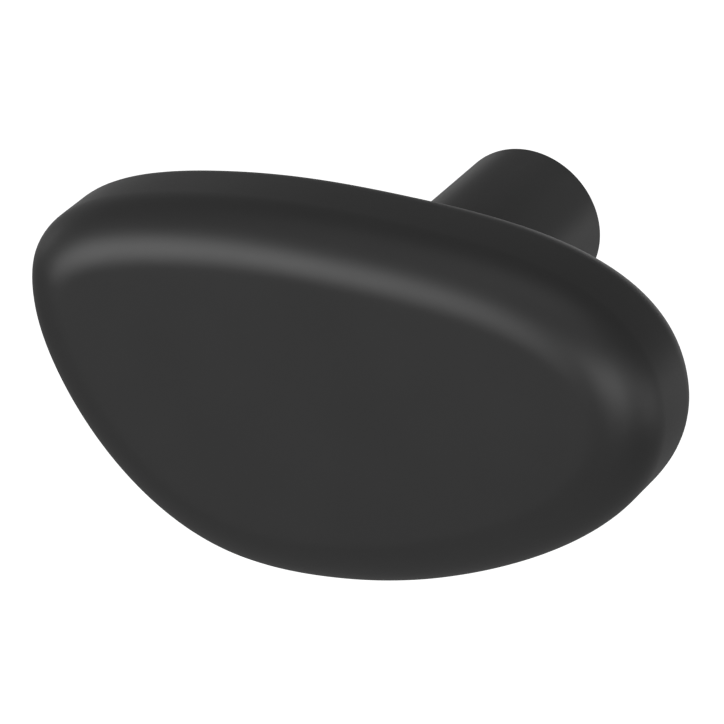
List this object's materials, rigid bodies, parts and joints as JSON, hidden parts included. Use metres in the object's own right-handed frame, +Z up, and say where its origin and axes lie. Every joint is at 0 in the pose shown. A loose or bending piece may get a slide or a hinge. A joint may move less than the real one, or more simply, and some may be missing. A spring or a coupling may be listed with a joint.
{
  "type": "cabinet knob",
  "caption": "Matt black cabinet knob: a flat pebble-shaped head with a wide rounded front edge, on a straight round post that is tapped in its base for a machine screw.",
  "frame": {"origin": "centre of the post's base, in the plane of the door or drawer front", "axes": "+X to the right and +Z up as the knob is seen from the front, +Y into the door along the post's axis; the head faces -Y"},
  "size_m": [0.0457, 0.0332, 0.0267],
  "materials": {
    "black_coat": "matt black powder coat over cast zinc alloy"
  },
  "bodies": {
    "root": {"knob": "black_coat"}
  },
  "joints": []
}
